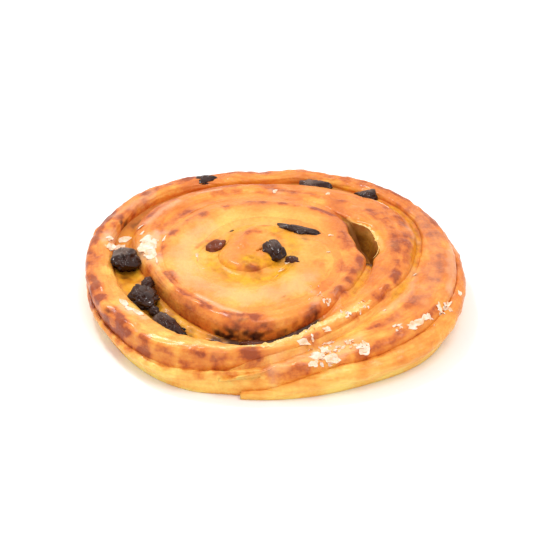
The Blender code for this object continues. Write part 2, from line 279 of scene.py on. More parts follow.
class Strip:
    """A wound strip, as tables with a row for each ring: where its points lie, and how far along."""

    def __init__(self, cut_face, places):
        faces = np.array([cut_face(turned) for turned in places])
        reach, self.z, self.part = faces[:, :, 0], faces[:, :, 1], faces[:, :, 2]
        every = np.ones(reach.shape)
        self.turned = np.array(places)[:, None] * every
        self.along = np.arange(len(places))[:, None] * STRIDE * every
        steps = np.hypot(np.diff(reach, axis=1), np.diff(self.z, axis=1))
        self.across = np.hstack([np.zeros((len(places), 1)), np.cumsum(steps, axis=1)])
        angle = np.radians(self.turned)
        self.x = reach * np.cos(angle)
        self.y = reach * np.sin(angle)

    def push(self, amount):
        """Moves the points straight out of the surface by an amount in millimetres."""
        spots = np.stack([self.x, self.y, self.z], axis=2)
        around = np.roll(spots, -1, axis=1) - np.roll(spots, 1, axis=1)
        out = np.cross(np.gradient(spots, axis=0), around)
        out /= np.maximum(np.linalg.norm(out, axis=2, keepdims=True), 1e-9)
        self.x, self.y, self.z = np.moveaxis(spots + out * amount[:, :, None], 2, 0)

    def piece(self, name):
        """The strip as a mesh that faces outward and is closed at both ends, in the part's own frame."""
        rings, points = self.x.shape
        faces = [(here, ahead, across, beside) for here, beside, across, ahead in ring_faces(rings, points)]
        for start, outward in ((0, True), ((rings - 1) * points, False)):
            low, high = 0, points - 1
            while high - low > 1:
                corners = [start + low, start + low + 1, start + high - 1, start + high]
                if low + 1 == high - 1:
                    corners.pop(1)
                faces.append(corners if outward else corners[::-1])
                low += 1
                high -= 1
        spots = np.stack([self.x + MIDDLE_X, self.y + MIDDLE_Y, self.z], axis=2) * MM
        return new_piece(name, spots.reshape(-1, 3).tolist(), faces)


def mark(piece, name, values):
    """Keeps a number for each point of a mesh, for its material to read."""
    kept = piece.data.attributes.new(name, "FLOAT", "POINT")
    kept.data.foreach_set("value", np.ascontiguousarray(values, dtype=np.float32).ravel())


def grained(strip, lengthways, crossways, seed):
    """Noise drawn out along the roll: one value for each point, about -0.5 to 0.5."""
    flat = zip(strip.along.ravel(), strip.across.ravel())
    values = [noise.noise(Vector((along / lengthways, across / crossways, seed))) for along, across in flat]
    return np.array(values).reshape(strip.x.shape)


def cloudy(strip, size, seed):
    """Noise the same in every direction: one value for each point."""
    flat = zip(strip.x.ravel(), strip.y.ravel(), strip.z.ravel())
    values = [noise.noise(Vector((x / size, y / size, z / size + seed))) for x, y, z in flat]
    return np.array(values).reshape(strip.x.shape)


def at(direction, reach):
    """The place that lies in a direction in degrees, at a reach in millimetres."""
    angle = math.radians(direction)
    return reach * math.cos(angle), reach * math.sin(angle)


SOFT_EDGE = 1.4


def stroked(x, y, strokes, ragged):
    """How strongly points are covered by strokes of a brush: (strength, width, place, place ...)."""
    cover = np.zeros(x.shape)
    for strength, width, *path in strokes:
        corners = [at(*place) for place in (path * 2 if len(path) == 1 else path)]
        nearest = np.full(x.shape, 1e6)
        for (start_x, start_y), (end_x, end_y) in zip(corners, corners[1:]):
            run_x, run_y = end_x - start_x, end_y - start_y
            length = max(run_x * run_x + run_y * run_y, 1e-6)
            share = np.clip(((x - start_x) * run_x + (y - start_y) * run_y) / length, 0, 1)
            gap = np.hypot(x - start_x - share * run_x, y - start_y - share * run_y)
            nearest = np.minimum(nearest, gap)
        inside = np.clip((1.5 - nearest / (width / 2) + ragged) / SOFT_EDGE, 0, 1)
        cover = np.maximum(cover, strength * smooth(inside))
    return cover


BLISTERS = (  # direction, reach, length, width, height
    (-39, 29.4, 6.4, 4.6, 1.3), (-24, 38.4, 6, 3.8, 1.1), (-14, 39.4, 5.6, 3.6, 1), (-45, 38, 5, 3, 0.45),
    (-69, 40, 4.6, 3, 0.6), (-57, 30.6, 5.6, 4.2, 0.7), (-75, 36.6, 3, 2.4, 0.7), (28, 45.4, 6, 4, 0.4),
    (8, 43, 9, 4.6, 0.5), (24, 55, 3.6, 2.6, 0.6), (31, 55.2, 2.6, 2.2, 0.5), (62, 49.2, 5, 3, 0.5),
    (266, 42.6, 7, 3.6, 0.4), (247, 45.6, 6, 3.4, 0.3), (218, 45.6, 7, 3.6, 0.35), (196, 44.8, 7, 3.6, 0.3),
)


def blistered(strip):
    """How far the crust stands up in blisters."""
    rise = np.zeros(strip.x.shape)
    for direction, reach, length, width, height in BLISTERS:
        middle_x, middle_y = at(direction, reach)
        angle = math.radians(direction)
        outward = (strip.x - middle_x) * math.cos(angle) + (strip.y - middle_y) * math.sin(angle)
        sideways = (strip.y - middle_y) * math.cos(angle) - (strip.x - middle_x) * math.sin(angle)
        away = (sideways / (length / 2)) ** 2 + (outward / (width / 2)) ** 2
        rise += height * np.clip(1 - away, 0, 1) ** 2
    return rise


BROWN_STROKES = (
    (0.72, 4.8, (174, 47.8), (187, 47.4)), (0.72, 4.8, (192, 47.4), (203, 46.8)),
    (0.7, 4.6, (209, 46.4), (216, 46.4), (223, 47.2)), (0.54, 3.6, (228, 47.2), (232, 47.3)),
    (0.44, 3.2, (237, 47.2), (241, 47)), (0.5, 3.6, (246, 46), (251, 45.6)),
    (0.44, 3.2, (256, 44.8), (259, 44.7)), (0.58, 3.8, (264, 43.4), (270, 43)),
    (0.8, 2.4, (148, 50.2), (156, 49.8)), (0.55, 2.6, (158, 49.2), (170, 48.2)),
    (0.55, 2.2, (136, 48.8), (122, 48.8), (112, 49)), (0.4, 2.6, (29, 55.6), (20, 55.6)),
    (0.45, 2.6, (160, 45.6), (150, 47), (138, 46.8)), (0.45, 4, (190, 31.4), (201, 31.8)),
    (0.26, 5.6, (34, 53), (20, 52.4), (8, 51.2), (-4, 50), (-14, 48.8), (-26, 47.6)),
    (0.34, 2.6, (60, 52.6), (46, 54.6), (36, 55.6)), (0.3, 3, (120, 40), (100, 39), (84, 38.4)),
    (0.26, 2.4, (66, 49.6), (50, 52.2)), (0.26, 2.2, (100, 48.6), (80, 48.6)),
    (0.46, 3, (200, 26.4), (218, 27.6), (230, 28), (241, 28.6), (256, 30.2), (270, 30.6)),
    (0.24, 2.6, (-104, 32.4), (-92, 33.4), (-78, 33.2), (-66, 32.4)), (0.3, 3.2, (-66, 31.8), (-57, 30.6)),
    (0.5, 3.6, (-43, 29.4), (-37, 29.4)), (0.4, 2.8, (-30, 38), (-22, 38.6)),
    (0.44, 2.8, (-17, 39.2), (-11, 39.6)), (0.3, 2.6, (-47, 38), (-42, 38.2)),
    (0.36, 2.4, (-71, 39.8), (-66, 39.8)), (0.3, 3, (-3, 50.4), (-12, 50.2), (-18, 49.3), (-26, 48.2)),
    (0.24, 1.6, (-9, 50.2), (-15, 49.8)), (0.4, 2.2, (-85, 46.2), (-81, 46.4), (-74, 46.4)),
    (0.34, 2.6, (-98, 46), (-90, 45), (-82, 44), (-74, 43.4)),
    (0.34, 2.4, (-62, 47.6), (-53, 48.8), (-43, 50.6), (-34, 52.2), (-24, 53.8)),
    (0.3, 2.2, (-12, 44.6), (0, 45.6), (12, 47.6), (22, 49.4)),
    (0.34, 2, (150, 43.4), (142, 43), (132, 42.6), (122, 42.4)),
    (0.36, 3, (35, 45.8), (28, 45.4), (22, 46)), (0.3, 4.8, (15, 44.2), (7, 43), (-2, 41.6)),
    (0.5, 3.2, (38, 32), (28, 31), (16, 30.6), (0, 29.4), (-17, 28.8), (-30, 28.6)),
    (0.52, 2.6, (178, 27), (165, 26.8), (152, 26.4), (144, 26), (128, 25.4)),
    (0.56, 2.4, (112, 25.6), (96, 26.1), (79, 26.3), (66, 27.4)), (0.6, 2.8, (56, 28.6), (44, 30.2)),
    (0.3, 4, (-20, 25.6), (-6, 25.2), (8, 25.4), (22, 26.4)), (0.3, 3, (166, 30.4), (150, 31), (132, 31)),
    (0.34, 3, (36, 41), (24, 41.4), (10, 40.4), (-6, 39.6)),
    (0.34, 3, (-24, 46.6), (-36, 45.4), (-46, 43.6)),
    (0.3, 2.6, (112, 35.6), (96, 35.4), (80, 35.8), (64, 36.6), (50, 38.4)),
    (0.2, 3.6, (-15, 18.1), (-22, 21.4)), (0.34, 1.8, (102, 9.6), (80, 10.9), (52, 9.8), (30, 8)),
    (0.55, 2, (-108, 8), (-98, 8.2), (-88, 8)), (0.26, 3.2, (157, 37.6), (145, 38.6), (130, 39.4)),
    (0.4, 1.8, (112, 8.4), (98, 10.8), (86, 13), (72, 13.6)),
    (0.3, 1.6, (170, 17.6), (156, 16.4), (142, 13.6)), (0.22, 2.6, (165, 32.4), (150, 33.4)),
    (0.4, 1.8, (146, 45.4), (137, 45.4)),
    (0.3, 5, (196, 32.6), (206, 31.4), (216, 31.2), (228, 31.6), (240, 32.4)),
)
# Burnt bits, raisin stains and specks, and painted shade along the front, back and back-left grooves.
BURNT_STAIN_AND_SHADE_STROKES = (
    (0.8, 2.2, (152, 45.2), (146, 44.2), (136, 43.6)), (0.7, 1.2, (156, 50.4), (148, 50.8)),
    (1, 2.8, (-108, 33.8), (-96, 34.4), (-86, 34.6), (-76, 34), (-66, 33), (-58, 32.2)),
    (0.5, 1.2, (-98, 31.6), (-94, 31.4)), (0.5, 1.4, (-90, 32.6), (-84, 32.8)),
    (0.7, 1.6, (196, 32.2), (201, 32.4)), (0.9, 4.6, (209, 34), (219, 34.4), (231, 35.4), (238, 36.4)),
    (0.7, 1, (-151, 46.6), (-150, 46.4)), (0.6, 1, (-70, 22.4), (-69, 22.6)),
    (0.6, 1.2, (121, 14.5), (126, 13.8)), (0.5, 1.2, (143, 12.8), (146, 12.2)),
    (0.6, 3.4, (44, 16.6), (30, 15.2)), (0.5, 3, (-14, 9.4), (-24, 10.4)),
    (0.8, 1.6, (84, 43), (76, 43.4), (66, 44.2), (56, 45.6)), (0.7, 1.4, (52, 46.6), (44, 47.8)),
)
# Pale glaze veils and spots under white flakes, and painted highlights on crests, such as the outer coil at
# the right.
VEIL_AND_HIGHLIGHT_STROKES = (
    (0.65, 4.4, (166, 44), (158, 43.2), (153, 41.4)), (0.4, 2.2, (152, 36.4), (142, 36.6), (130, 37)),
    (0.6, 1.6, (-129, 25.6), (-119, 26), (-109, 27.6), (-99, 28.6)), (0.35, 2.6, (21, 46.6), (15, 47)),
    (0.28, 3.2, (-3, 44.2), (-20, 45), (-34, 42)), (0.3, 2, (84, 35.4), (80, 34.6)), (0.45, 1, (58, 38.8)),
    (0.4, 1.2, (24, 22.9)), (0.35, 1.2, (57, 30.8)), (0.35, 1.2, (43, 38.4)), (0.35, 1.4, (2, 19.9)),
    (0.35, 2.4, (4, 54.6), (-10, 54.4)), (0.3, 2.2, (-52, 21.8), (-50, 26), (-56, 28.8)),
    (0.55, 1, (118, 38), (108, 37)), (0.7, 4, (172, 30.6), (164, 31.4), (158, 30.8)),
    (0.35, 3.2, (-84, 45), (-70, 43.6), (-60, 43), (-52, 44)),
    (0.6, 4.6, (171, 33), (176, 31.6), (180, 30.4)), (0.45, 2.4, (178, 28), (-172, 28.6), (-166, 28.4)),
    (0.6, 3.4, (160, 41), (156, 42.4)), (0.55, 3, (-150, 42), (-143, 41.4), (-140, 40.4)),
    (0.14, 6, (30, 53.4), (16, 52.4), (2, 50.8), (-10, 49.6), (-22, 48.4)),
    (0.3, 3, (150, 48.6), (132, 47.6)), (0.4, 2, (10, 56), (-2, 55.4), (-14, 54.8)),
    (0.35, 2.4, (-76, 44.6), (-66, 45.6), (-56, 46.6)),
    (0.3, 7, (140, 20), (165, 21), (190, 21.4), (215, 21.6), (240, 21.6), (265, 21.4), (290, 20.4),
        (320, 18.6)),
)
TORN_STROKES = (
    (0.55, 1.6, (-112, 42.6), (-104, 42.6), (-96, 41.6), (-87, 40.4)),
    (0.75, 2.6, (-84, 39.8), (-79, 38.8), (-72, 37.4), (-65, 36.4), (-57, 36.2), (-48, 36.2), (-40, 36.8)),
    (0.4, 2.2, (-154, 41.4), (-145, 40.8), (-139, 39.4)),
    (0.5, 1.4, (38, 33.4), (33, 33.2), (29, 34.2), (21, 35.6), (14, 35.8), (6, 35.4)),
)
YELLOW_STROKES = (
    (0.9, 5.6, (-170, 13), (-150, 12.2), (-125, 11.8), (-100, 11.8), (-75, 11.6), (-50, 11), (-36, 10.4)),
    (1, 6, (-120, 5.4), (-80, 5), (-50, 5.4)), (0.7, 5, (66, 12), (48, 12.4), (24, 11), (4, 9.6)),
    (0.6, 2.6, (146, 11), (128, 12.2), (112, 13.6), (96, 15)), (0.35, 3, (168, 13), (150, 10)),
    (0.6, 2.6, (-2, 31.6), (-14, 31), (-24, 31.2), (-34, 31.8)),
    (0.5, 1.8, (38, 33.6), (30, 35.6), (16, 36.6), (4, 35.4)),
    (0.7, 2.8, (-24, 41.8), (-8, 43.8), (4, 45.2), (16, 47.8), (28, 50.2), (44, 48.6), (60, 46.8)),
    (0.5, 2.4, (72, 45), (92, 42.6), (110, 43.2)), (0.5, 2.2, (124, 13.6), (110, 14.2)),
)
# Painted shade: the inside of the open hollow is coloured dark brown, partly custard stain.
HOLLOW_SHADE_STROKES = ((1, 9, (34, 32.8), (22, 33.2), (4, 32.8)),)
BAKED_ALONG = (  # turned, outer half, inner half
    (-95, 0.2, 0.24), (-60, 0.28, 0.28), (-20, 0.46, 0.44), (10, 0.54, 0.5), (60, 0.54, 0.46),
    (120, 0.56, 0.48), (165, 0.46, 0.42), (195, 0.14, 0.2), (220, 0, 0.1), (240, 0, 0.1), (264, 0.16, 0.22),
    (300, 0.32, 0.26), (345, 0.5, 0.44), (380, 0.56, 0.5), (420, 0.56, 0.46), (470, 0.58, 0.48),
    (520, 0.46, 0.36), (580, 0.4, 0.26), (630, 0.38, 0.24), (660, 0.4, 0.36), (700, 0.5, 0.48),
    (740, 0.58, 0.52), (800, 0.56, 0.42), (860, 0.5, 0.4), (900, 0.44, 0.36), (950, 0.44, 0.34),
    (990, 0.42, 0.36), (1040, 0.48, 0.36), (1080, 0.52, 0.34), (1140, 0.46, 0.3), (1200, 0.44, 0.28),
    (1290, 0.36, 0.28), (1400, 0.32, 0.28), (1500, 0.34, 0.34), (1796, 0.5, 0.5),
)
SIDE_BAKED = ((-95, 0.25), (0, 0.7), (60, 1), (150, 1), (190, 0.15), (262, 0.1))
PALE_BELOW = ((455, 3), (540, 3.4), (580, 6), (610, 7.6))
DRAWN = ((600, 1), (800, 0.8), (1000, 0.5), (1100, 0.12))
SIDE_END = 262
PALE_START = 455
PALE_END = 650
BARE_SIDE = 0.1
PALER = 0.5
DRAWN_OUT = 5
HOLLOW_SHADE_TOP = 13.6


def baked_looks(strip):
    """How each point looks: baked, blotched, dark, veiled, torn, yellow, hollow; with painted shade and
    highlights.
    """
    ragged = cloudy(strip, 1.6, 41.0) * 0.6 + cloudy(strip, 4.0, 47.0) * 0.7
    places, outer_half, inner_half = zip(*BAKED_ALONG)
    outer_half = np.interp(strip.turned, places, outer_half)
    inner_half = np.interp(strip.turned, places, inner_half)
    inward = smooth(np.clip((strip.part - 0.3 + ragged * 0.12) / 0.4, 0, 1))
    flank = smooth(np.clip((strip.z - 1.0) / 8.0, 0, 1)) * straight(SIDE_BAKED, strip.turned)
    facing_out = np.clip((HANGING_PART - strip.part) / 0.2, 0, 1)
    outermost = np.clip((SIDE_END - strip.turned) / 8, 0, 1) * facing_out
    near_seam = np.clip(np.abs(strip.part * 2 - 1) * 5 - 3.9, 0, 1)
    near_seam *= np.clip((1080 - strip.turned) / 200, 0, 1)
    baked = outer_half + (inner_half - outer_half) * inward + near_seam * 0.1
    baked = baked * (1 - outermost) + (BARE_SIDE + flank * 0.4) * outermost
    baked = baked + cloudy(strip, 9.0, 61.0) * 0.22
    low_ridge = np.clip(straight(PALE_BELOW, strip.turned) - strip.z + ragged * 1.4, 0, 1) * facing_out
    low_ridge *= np.clip((strip.turned - PALE_START) / 20, 0, 1)
    low_ridge *= np.clip((PALE_END - strip.turned) / 10, 0, 1)
    baked = baked - low_ridge * PALER
    looks = {name: stroked(strip.x, strip.y, strokes, ragged) for name, strokes in (
        ("blotch", BROWN_STROKES), ("dark", BURNT_STAIN_AND_SHADE_STROKES), ("veil", VEIL_AND_HIGHLIGHT_STROKES),
        ("torn", TORN_STROKES), ("yellow", YELLOW_STROKES))}
    looks["baked"] = baked
    streaky = cloudy(strip, 3.4, 91.0) * 2.0 + grained(strip, 6.0, 1.6, 97.0) * 0.5
    looks["blotch"] *= np.clip((strip.z - 4) / 3, 0, 1) * np.clip(0.85 + streaky, 0.25, 1.15)
    # The dark marks, burnt bits and stains with painted shade in the grooves, only show above 5 mm.
    looks["dark"] *= np.clip((strip.z - 5) / 2, 0, 1)
    looks["dark"] *= np.clip(0.75 + cloudy(strip, 1.8, 95.0) * 2.2, 0.1, 1)
    # Painted shade in the open hollow, below its top edge.
    hollow = stroked(strip.x, strip.y, HOLLOW_SHADE_STROKES, ragged * 0.3)
    looks["hollow"] = hollow * np.clip((HOLLOW_SHADE_TOP - strip.z) / 1.4, 0, 1)
    return looks


def keep_looks(piece, strip, on_top):
    """Marks a piece of dough with all that its crust needs."""
    for name, values in baked_looks(strip).items():
        mark(piece, name, values)
    mark(piece, "topside", on_top)
    mark(piece, "drawn", straight(DRAWN, strip.turned))
    grain = piece.data.attributes.new("grain", "FLOAT_VECTOR", "POINT")
    spots = np.stack([strip.along, strip.across * DRAWN_OUT, np.zeros(strip.x.shape)], axis=2)
    grain.data.foreach_set("vector", (spots * MM).astype(np.float32).ravel())


STEP_LINE = (
    (1, 4.2, (238, 28.4), (218, 27.6), (200, 26.8), (178, 27), (165, 26.8), (152, 26.4), (144, 26),
        (128, 25.4), (112, 25.6), (96, 26.1), (79, 26.3), (66, 27.4), (56, 28.6), (44, 30.2)),
    (0.8, 2.6, (102, 9.6), (80, 10.9), (52, 9.8), (30, 8)),
    (0.7, 3.2, (168, 14), (176, 15.4), (190, 15.6), (204, 14.6)),
    (2, 3, (150, 5), (124, 7), (108, 8.9), (96, 11.4), (86, 13.2), (70, 13.6)),
    (1.6, 2.6, (-112, 7.6), (-98, 8.2), (-86, 8)), (1.2, 2.4, (172, 16.8), (156, 15.6), (140, 12.8)),
)
STEP_RISE = 0.42
dough = Strip(dough_face, places_along(LOOSE_END, INNER_END))
on_top = np.sin(np.pi * dough.part) ** 0.5
drawn_out = grained(dough, 7.0, 0.8, 3.0)
relief = cloudy(dough, 3.2, 11.0) * 0.3 + cloudy(dough, 1.3, 23.0) * 0.12 + drawn_out * 0.16
dough.push(relief * on_top * straight(((700, 1.3), (1000, 0.5)), dough.turned))
dough.z = dough.z + blistered(dough) * on_top
dough.z = dough.z + STEP_RISE * stroked(dough.x, dough.y, STEP_LINE, cloudy(dough, 4.0, 53.0) * 0.5) * on_top
dough_piece = dough.piece("dough_swirl")
keep_looks(dough_piece, dough, on_top)

MIX_AMOUNT, MIX_FIRST, MIX_SECOND, MIX_RESULT = 0, 6, 7, 2


class Finish:
    """A node material being put together."""

    def __init__(self, name):
        self.material = bpy.data.materials.new(name)
        self.material.use_nodes = True
        self.tree = self.material.node_tree
        self.surface = self.tree.nodes["Principled BSDF"]

    def plug(self, made, name, value):
        """Links an input to another node, or sets it, if the value is a plain one."""
        if isinstance(value, bpy.types.NodeSocket):
            self.tree.links.new(value, made.inputs[name])
        else:
            made.inputs[name].default_value = value

    def plug_all(self, made, inputs):
        for name, value in inputs.items():
            self.plug(made, name.replace("_", " "), value)
        return made

    def node(self, kind, **inputs):
        return self.plug_all(self.tree.nodes.new(kind), inputs)

    def shade(self, **inputs):
        self.plug_all(self.surface, inputs)

    def marked(self, name, output="Fac"):
        """The numbers that mark() has kept on the mesh."""
        made = self.tree.nodes.new("ShaderNodeAttribute")
        made.attribute_name = name
        return made.outputs[output]

    def math(self, operation, *values):
        made = self.tree.nodes.new("ShaderNodeMath")
        made.operation = operation
        for index, value in enumerate(values):
            self.plug(made, index, value)
        return made.outputs["Value"]

    def times(self, first, second, plus=0.0):
        return self.math("MULTIPLY_ADD", first, second, plus)

    def mottle(self, size, detail=3.0, where=None):
        """Noise with lumps of a size in millimetres."""
        if where is None:
            where = self.node("ShaderNodeTexCoord").outputs["Object"]
        made = self.node("ShaderNodeTexNoise", Vector=where, Scale=1 / (size * MM), Detail=detail)
        return made.outputs["Fac"]

    def ramp(self, amount, stops):
        made = self.node("ShaderNodeValToRGB", Fac=amount)
        colours = made.color_ramp.elements
        while len(colours) < len(stops):
            colours.new(0.5)
        for element, (place, colour) in zip(colours, stops):
            element.position = place
            element.color = (*colour, 1.0)
        return made.outputs["Color"]

    def mixed(self, amount, first, second):
        """The first colour, turning into the second one as the amount goes up to 1."""
        made = self.tree.nodes.new("ShaderNodeMix")
        made.data_type = "RGBA"
        self.plug(made, MIX_AMOUNT, amount)
        self.plug(made, MIX_FIRST, first if isinstance(first, bpy.types.NodeSocket) else (*first, 1.0))
        self.plug(made, MIX_SECOND, second if isinstance(second, bpy.types.NodeSocket) else (*second, 1.0))
        return made.outputs[MIX_RESULT]

    def bumpy(self, height, depth):
        """Fine relief, its depth in millimetres."""
        made = self.node("ShaderNodeBump", Height=height, Distance=depth * MM)
        self.plug(self.surface, "Normal", made.outputs["Normal"])


crust = Finish("baked_crust")
streaks = crust.mottle(6.0, 4.0, crust.marked("grain", "Vector"))
specks = crust.mottle(1.0, 4.0)
patches = crust.mottle(5.0)
drawn = crust.times(crust.math("SUBTRACT", streaks, 0.5), crust.marked("drawn"))
browning = crust.times(crust.marked("blotch"), crust.times(specks, 1.0, 0.5), crust.marked("baked"))
browning = crust.times(drawn, 0.44, browning)
browning = crust.times(specks, 0.22, browning)
patchy = crust.times(crust.marked("drawn"), 0.4, 0.14)
browning = crust.times(crust.math("SUBTRACT", patches, 0.5), patchy, browning)
browning = crust.math("SUBTRACT", browning, 0.07)
CRUST_COLOURS = (
    (0.0, (0.97, 0.69, 0.17)), (0.2, (0.93, 0.48, 0.092)), (0.4, (0.83, 0.3, 0.042)),
    (0.58, (0.72, 0.2, 0.026)), (0.78, (0.56, 0.12, 0.016)), (1.0, (0.34, 0.055, 0.01)),
)
crust_colour = crust.ramp(browning, CRUST_COLOURS)
# A mottled pale film of glaze over the tops, partly a painted sheen.
FILM_AND_SHEEN_PINK = (0.92, 0.48, 0.19)
glaze_film_and_sheen = crust.times(crust.mottle(7.0, 4.0), 4.0, -2.1)
glaze_film_and_sheen = crust.math("MINIMUM", crust.math("MAXIMUM", glaze_film_and_sheen, 0.0), 1.0)
glaze_film_and_sheen = crust.times(crust.times(glaze_film_and_sheen, 0.18, 0.03), crust.marked("topside"))
crust_colour = crust.mixed(glaze_film_and_sheen, crust_colour, FILM_AND_SHEEN_PINK)
yolk_patches = crust.ramp(crust.mottle(2.6), ((0.36, (0.56, 0.21, 0.002)), (0.6, (0.84, 0.38, 0.008))))
# Painted shade for the inside of the open hollow, dark brown in patches.
hollow_shade_patches = crust.ramp(patches, ((0.4, (0.16, 0.05, 0.006)), (0.6, (0.42, 0.18, 0.016))))
# Laid over the crust: custard yellow, torn dough, glaze veils with painted highlights, painted shade in the
# hollow, burnt bits and stains with painted shade in the grooves.
OVER_THE_CRUST = (
    ("yellow", yolk_patches), ("torn", (0.92, 0.58, 0.19)), ("veil", (0.86, 0.5, 0.3)),
    ("hollow", hollow_shade_patches), ("dark", (0.045, 0.01, 0.004)),
)
for look, colour in OVER_THE_CRUST:
    crust_colour = crust.mixed(crust.marked(look), crust_colour, colour)
GLAZED = 0.34
DULLED_BY_CUSTARD = -0.7
glazed = crust.times(crust.times(crust.marked("yellow"), DULLED_BY_CUSTARD, 1.0), GLAZED)
crust.shade(
    Base_Color=crust_colour, Roughness=crust.times(specks, 0.25, 0.32),
    Coat_Weight=crust.times(glazed, crust.marked("topside")), Coat_Roughness=0.18,
    Specular_IOR_Level=0.18, Subsurface_Weight=0.1, Subsurface_Scale=0.0015,
    Subsurface_Radius=(1.0, 0.45, 0.15),
)
crust.bumpy(crust.times(drawn, 0.8, specks), 0.32)
dough_piece.data.materials.append(crust.material)
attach(dough_piece, "root")
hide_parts("dough")

# The custard. Set pastry custard, spread on the dough before it was rolled up. It shows where the turns
# have drawn apart: a pool round the middle, the grooves on the left, and the sides of one open hollow.

POCKET_DEPTH = 8.4
CUSTARD_DEPTH = (
    (180, 0.8), (520, 0.9), (545, 0.6), (630, 0.6), (715, 0.9), (727, POCKET_DEPTH), (746, POCKET_DEPTH),
    (757, 0.9), (1100, 0.5), (1440, 0.3),
)
CUSTARD_TOP_POINTS = 17
CLIMB = 0.9
WIDE_CLIMB = 1.6
WIDE_SEAM = 8.0
LAP = 0.15
CUSTARD_FOOT = 0.4
UNDER_THE_EDGE = 0.05


def custard_face(turned):
    """The cut face of the custard, which climbs a little up the dough on both sides."""
    wall_height = eased(SEAM_HEIGHT, turned)
    level = wall_height - eased(CUSTARD_DEPTH, turned)
    climb = CLIMB + (WIDE_CLIMB - CLIMB) * min(eased(SEAM_WIDTH, turned) / WIDE_SEAM, 1)
    foot = seam_middle(turned, CUSTARD_FOOT / wall_height)
    half_foot = seam_half_width(turned, CUSTARD_FOOT / wall_height)
    face = [(foot + half_foot, CUSTARD_FOOT, 0.0)]
    for step in range(CUSTARD_TOP_POINTS):
        part = step / (CUSTARD_TOP_POINTS - 1)
        height = min(level + climb * abs(part * 2 - 1) ** 2.6, wall_height - UNDER_THE_EDGE)
        half = seam_half_width(turned, height / wall_height) + LAP
        face.append((seam_middle(turned, height / wall_height) + half * (1 - 2 * part), height, part))
    face.append((foot - half_foot, CUSTARD_FOOT, 1.0))
    return face


# Custard is yellow where it lies open and amber in narrow seams and against the walls: partly glaze, partly
# painted shade.
CUSTARD_SHOWS = (
    (405, 0.1), (432, 0.6), (470, 0.3), (500, 0.1), (516, 0.4), (532, 0.9), (592, 0.9), (610, 0.5),
    (640, 0.3), (690, 0.4), (712, 0.8), (745, 0.7), (780, 0.35), (1060, 0.3), (1120, 0.5), (1200, 0.6),
    (1240, 1),
)
# Painted shade: custard darkened almost to black in the deep grooves and the open hollow, with raisin juice
# by the left raisins.
DEEP_SHADE_STROKES = (
    (1, 6, (-108, 36.5), (-96, 35.6), (-84, 34.6), (-72, 33), (-62, 32)),
    (0.9, 4.6, (205, 34.2), (219, 35), (231, 35.8), (238, 36.6)), (0.6, 5, (172, 37.6), (182, 37.4)),
    (0.6, 1.8, (148, 43.8), (134, 42.6)), (0.6, 10, (34, 33), (20, 33.2), (4, 32.6)),
)

custard = Strip(custard_face, places_along(CUSTARD_START, CUSTARD_END))
lumps = cloudy(custard, 2.4, 71.0) * 0.5 + cloudy(custard, 0.9, 73.0) * 0.16
custard.z = custard.z + lumps * np.sin(np.pi * custard.part)
custard_piece = custard.piece("custard_filling")
# The custard turns amber towards the walls, partly glaze and partly painted shade.
clear_of_edges = 1.5 - 1.5 * np.abs(custard.part * 2 - 1) ** 3 + cloudy(custard, 2.0, 83.0) * 0.6
mark(custard_piece, "shows", straight(CUSTARD_SHOWS, custard.turned) * np.clip(clear_of_edges, 0, 1))
# Painted shade mask for the custard in the deep grooves and the hollow.
mark(custard_piece, "deep_shade", stroked(custard.x, custard.y, DEEP_SHADE_STROKES, cloudy(custard, 1.6, 79.0)))

filling = Finish("custard")
filling_specks = filling.mottle(1.4, 4.0)
yolk = filling.ramp(filling.mottle(4.5, 2.0), (
    (0.35, (0.56, 0.2, 0.008)), (0.52, (0.8, 0.36, 0.016)), (0.7, (0.9, 0.5, 0.035)),
))
# Amber where the custard is narrow or against the walls, partly glaze and partly painted shade.
filling_colour = filling.mixed(filling.marked("shows"), (0.58, 0.17, 0.026), yolk)
# Painted shade on the custard in deep grooves, with raisin juice beside the left raisins.
filling_colour = filling.mixed(filling.marked("deep_shade"), filling_colour, (0.06, 0.016, 0.004))
filling.shade(
    Base_Color=filling_colour, Roughness=filling.times(filling_specks, 0.3, 0.3), Coat_Weight=0.06,
    Coat_Roughness=0.1, Specular_IOR_Level=0.25, Subsurface_Weight=0.15, Subsurface_Scale=0.0015,
    Subsurface_Radius=(1.0, 0.5, 0.1),
)
filling.bumpy(filling_specks, 0.12)
custard_piece.data.materials.append(filling.material)
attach(custard_piece, "root")
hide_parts("custard")

# The glaze in the grooves. While it was wet, the sugar glaze ran off the ridges and filled the narrow
# grooves almost level, so many turns run into each other and show only as soft valleys.

FILLS = (  # start and end along the roll, how far it laps over each side, and its level along the way
    ("glaze_in_outer_groove", 258.0, 424.0, 2.4, (
        (258, 0.25), (280, 0.62), (335, 0.55), (362, 0.06), (384, 0.0), (404, 0.18), (424, 0.25),
    )),
    ("glaze_in_front_groove", 661.0, 719.0, 2.4, ((661, 0.1), (680, 0.45), (719, 0.3))),
    ("glaze_in_inner_grooves", 757.0, 1500.0, 1.9, (
        (1200, 0.42), (1250, 0.1), (1400, 0.1), (1480, 0.45),
    )),
)
FILL_EDGE = 0.72
FILL_RUN_OUT = 18.0
RUN_OUT_DROP = 2.2
FILL_THICKNESS = 1.6
NARROWEST_FILL = 0.5
ON_THE_RIDGE = 0.5


